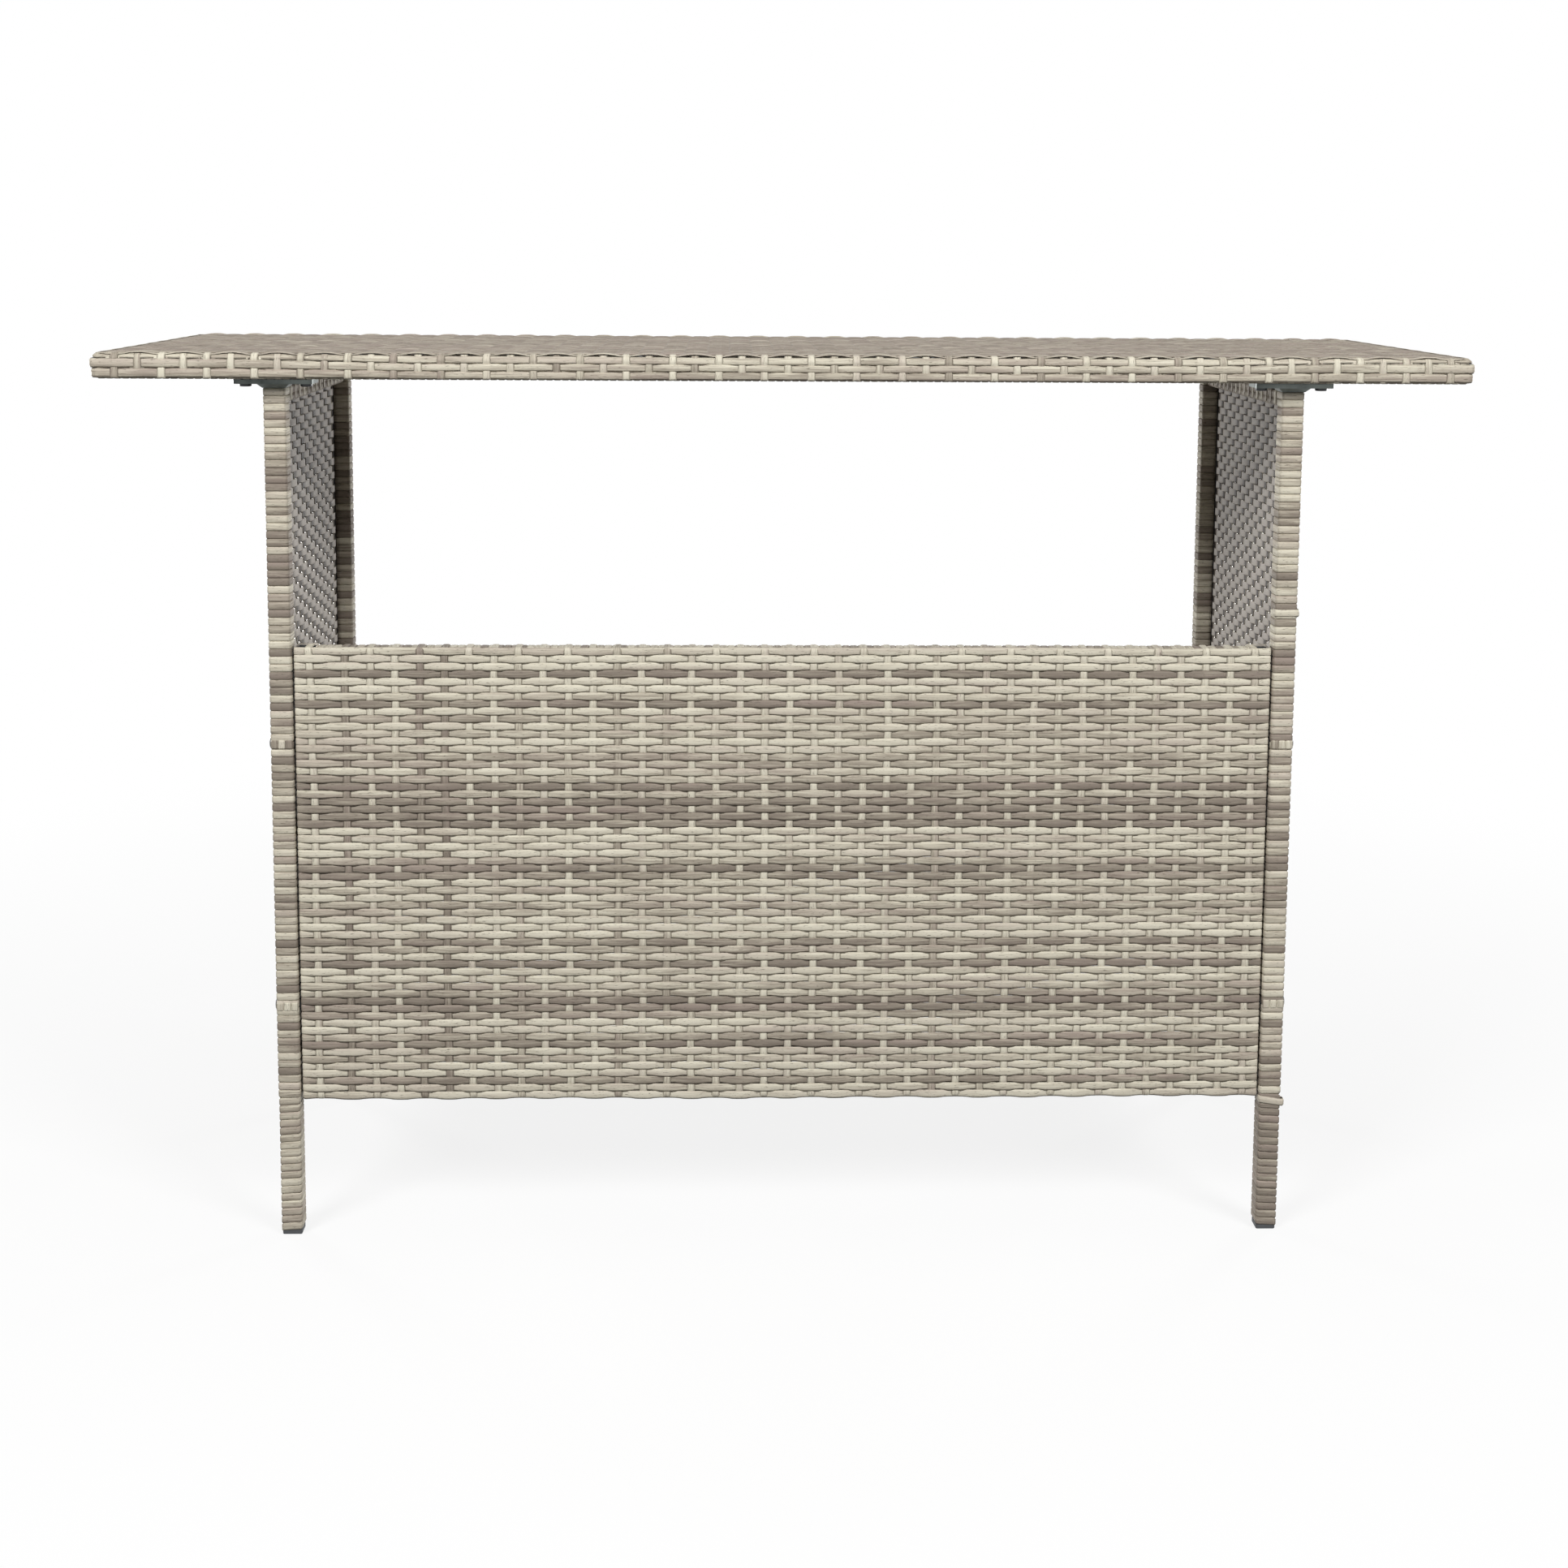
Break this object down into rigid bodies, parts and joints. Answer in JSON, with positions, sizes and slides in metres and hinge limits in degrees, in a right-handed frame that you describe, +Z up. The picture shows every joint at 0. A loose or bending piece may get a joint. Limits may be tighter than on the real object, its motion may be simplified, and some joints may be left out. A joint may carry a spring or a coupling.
{
  "type": "wicker bar table",
  "caption": "Long free-standing bar table with a woven top, woven side frames on wound legs, a woven front panel below a serving gap and wire shelves behind it.",
  "frame": {"origin": "on the floor, below the middle of the top", "axes": "+X along the table, +Y from the woven front panel to the open rear, +Z up"},
  "size_m": [1.4, 0.47, 0.94],
  "materials": {
    "wicker": "flat woven strip, grey-beige with darker streaks",
    "frame_steel": "black powder coat",
    "plate_steel": "black powder coat, satin",
    "shelf_steel": "black powder coat",
    "bolt_steel": "black oxide",
    "nut_steel": "zinc plated",
    "foot_plastic": "dark grey moulded plastic",
    "spacer_plastic": "black moulded plastic"
  },
  "bodies": {
    "root": {"frame_bolts": "bolt_steel", "frame_spacers": "spacer_plastic", "left_bottom_rail": "frame_steel", "left_bottom_rail_winding": "wicker", "left_front_foot": "foot_plastic", "left_front_leg": "frame_steel", "left_front_leg_winding": "wicker", "left_front_plate": "plate_steel", "left_rear_foot": "foot_plastic", "left_rear_leg": "frame_steel", "left_rear_leg_winding": "wicker", "left_rear_plate": "plate_steel", "left_sheet": "wicker", "left_top_rail": "frame_steel", "left_top_rail_winding": "wicker", "lower_shelf": "shelf_steel", "panel_bottom_rail": "frame_steel", "panel_bottom_winding": "wicker", "panel_left_stile": "frame_steel", "panel_left_winding": "wicker", "panel_middle_stile": "frame_steel", "panel_right_stile": "frame_steel", "panel_right_winding": "wicker", "panel_sheet": "wicker", "panel_top_rail": "frame_steel", "panel_top_winding": "wicker", "plate_bolts": "bolt_steel", "plate_spacers": "spacer_plastic", "right_bottom_rail": "frame_steel", "right_bottom_rail_winding": "wicker", "right_front_foot": "foot_plastic", "right_front_leg": "frame_steel", "right_front_leg_winding": "wicker", "right_front_plate": "plate_steel", "right_rear_foot": "foot_plastic", "right_rear_leg": "frame_steel", "right_rear_leg_winding": "wicker", "right_rear_plate": "plate_steel", "right_sheet": "wicker", "right_top_rail": "frame_steel", "right_top_rail_winding": "wicker", "rivet_nuts": "nut_steel", "top_bar_1": "frame_steel", "top_bar_2": "frame_steel", "top_bar_3": "frame_steel", "top_bar_4": "frame_steel", "top_bar_5": "frame_steel", "top_bar_6": "frame_steel", "top_edge_front": "wicker", "top_edge_left": "wicker", "top_edge_rear": "wicker", "top_edge_right": "wicker", "top_rim_front": "frame_steel", "top_rim_left": "frame_steel", "top_rim_rear": "frame_steel", "top_rim_right": "frame_steel", "top_sheet": "wicker", "upper_shelf": "shelf_steel"}
  },
  "joints": []
}
